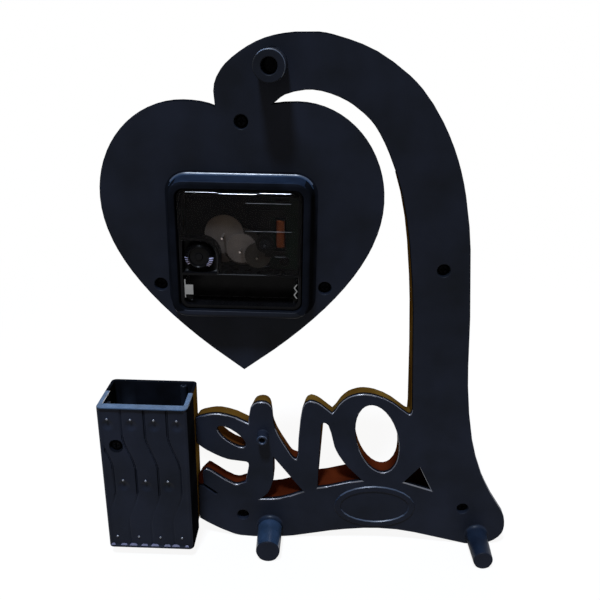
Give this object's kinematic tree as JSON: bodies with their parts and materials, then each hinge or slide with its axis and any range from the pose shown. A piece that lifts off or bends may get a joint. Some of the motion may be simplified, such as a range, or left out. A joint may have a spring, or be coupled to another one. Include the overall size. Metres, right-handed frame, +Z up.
{
  "type": "desk clock with pen holder",
  "caption": "Standing desk clock with a heart-shaped dial case hung in a script-letter frame, a quartz movement behind it and an open pen box beside the letters.",
  "frame": {"origin": "on the desk, under the middle of the clock's box", "axes": "+Z up, +Y towards the rear where the movement and pegs are, the dial faces -Y"},
  "size_m": [0.2102, 0.0364, 0.26],
  "materials": {
    "black_plastic": "satin moulded",
    "brown_plastic": "satin moulded",
    "case_plastic": "satin moulded",
    "smoky_lid": "smoky clear plastic",
    "clear_lens": "clear",
    "dial_paint": "matte print",
    "hand_paint": "semi-gloss paint",
    "red_paint": "semi-gloss paint",
    "acetal": "natural moulded",
    "steel": "plated",
    "dark_screw": "black oxide",
    "brass": "turned",
    "copper": "enamelled wire",
    "rubber": "matte",
    "board": "solder mask",
    "magnet": "sintered"
  },
  "bodies": {
    "clock_body": {"front_shell": "brown_plastic", "rear_cover": "black_plastic", "pen_box_front": "brown_plastic", "pen_box_rear": "black_plastic", "cover_screw_heart_top": "dark_screw", "cover_screw_heart_left": "dark_screw", "cover_screw_heart_right": "dark_screw", "cover_screw_stem": "dark_screw", "cover_screw_foot_right": "dark_screw", "cover_screw_foot_left": "dark_screw", "pen_box_rear_screw": "dark_screw", "pen_box_side_screw_upper": "dark_screw", "pen_box_side_screw_lower": "dark_screw", "bezel_ring": "brown_plastic", "dial_lens": "clear_lens", "dial": "dial_paint", "rubber_washer": "rubber", "hex_nut": "brass", "movement_case": "case_plastic", "movement_lid": "smoky_lid", "stator_plate": "steel", "coil_core": "steel", "coil_bobbin": "case_plastic", "coil_winding": "copper", "circuit_board": "board", "crystal_can": "steel", "chip_blob": "case_plastic", "battery_contact_positive": "steel", "battery_contact_negative": "steel"},
    "seconds_arbor": {"seconds_wheel": "acetal", "second_hand": "red_paint"},
    "third_arbor": {"third_wheel": "acetal"},
    "minute_train_wheel": {"minute_wheel": "acetal"},
    "intermediate_arbor": {"intermediate_wheel": "acetal"},
    "rotor_arbor": {"rotor": "magnet"},
    "minute_arbor": {"cannon_pinion": "brass", "minute_hand": "hand_paint"},
    "hour_arbor": {"hour_wheel": "acetal", "hour_hand": "hand_paint"},
    "motion_work": {"motion_wheel": "acetal"},
    "knob": {"setting_knob": "black_plastic"}
  },
  "joints": [
    {"name": "seconds_turn", "type": "hinge", "parent": "clock_body", "child": "seconds_arbor", "pos_m": [0.03485, 0, 0.1663], "axis": [0, 1, 0], "continuous": true},
    {"name": "third_turn", "type": "hinge", "parent": "clock_body", "child": "third_arbor", "pos_m": [0.04285, 0, 0.1725], "axis": [0, 1, 0], "continuous": true},
    {"name": "minute_wheel_turn", "type": "hinge", "parent": "clock_body", "child": "minute_train_wheel", "pos_m": [0.03485, 0, 0.1663], "axis": [0, 1, 0], "continuous": true},
    {"name": "intermediate_turn", "type": "hinge", "parent": "clock_body", "child": "intermediate_arbor", "pos_m": [0.02715, 0, 0.1635], "axis": [0, 1, 0], "continuous": true},
    {"name": "rotor_turn", "type": "hinge", "parent": "clock_body", "child": "rotor_arbor", "pos_m": [0.02355, 0, 0.16974], "axis": [0, 1, 0], "continuous": true},
    {"name": "minute_turn", "type": "hinge", "parent": "clock_body", "child": "minute_arbor", "pos_m": [0.03485, 0, 0.1663], "axis": [0, 1, 0], "continuous": true},
    {"name": "hour_turn", "type": "hinge", "parent": "clock_body", "child": "hour_arbor", "pos_m": [0.03485, 0, 0.1663], "axis": [0, 1, 0], "continuous": true},
    {"name": "motion_turn", "type": "hinge", "parent": "clock_body", "child": "motion_work", "pos_m": [0.0437, 0, 0.16469], "axis": [0, 1, 0], "continuous": true},
    {"name": "knob_turn", "type": "hinge", "parent": "clock_body", "child": "knob", "pos_m": [0.05403, 0, 0.1628], "axis": [0, 1, 0], "continuous": true}
  ],
  "couplings": [
    {"joint": "third_turn", "follows": "seconds_turn", "ratio": -0.125},
    {"joint": "minute_wheel_turn", "follows": "seconds_turn", "ratio": 0.016667},
    {"joint": "intermediate_turn", "follows": "seconds_turn", "ratio": -6},
    {"joint": "rotor_turn", "follows": "seconds_turn", "ratio": 30},
    {"joint": "hour_turn", "follows": "minute_turn", "ratio": 0.083333},
    {"joint": "motion_turn", "follows": "minute_turn", "ratio": -0.33333},
    {"joint": "knob_turn", "follows": "minute_turn", "ratio": 0.6}
  ]
}
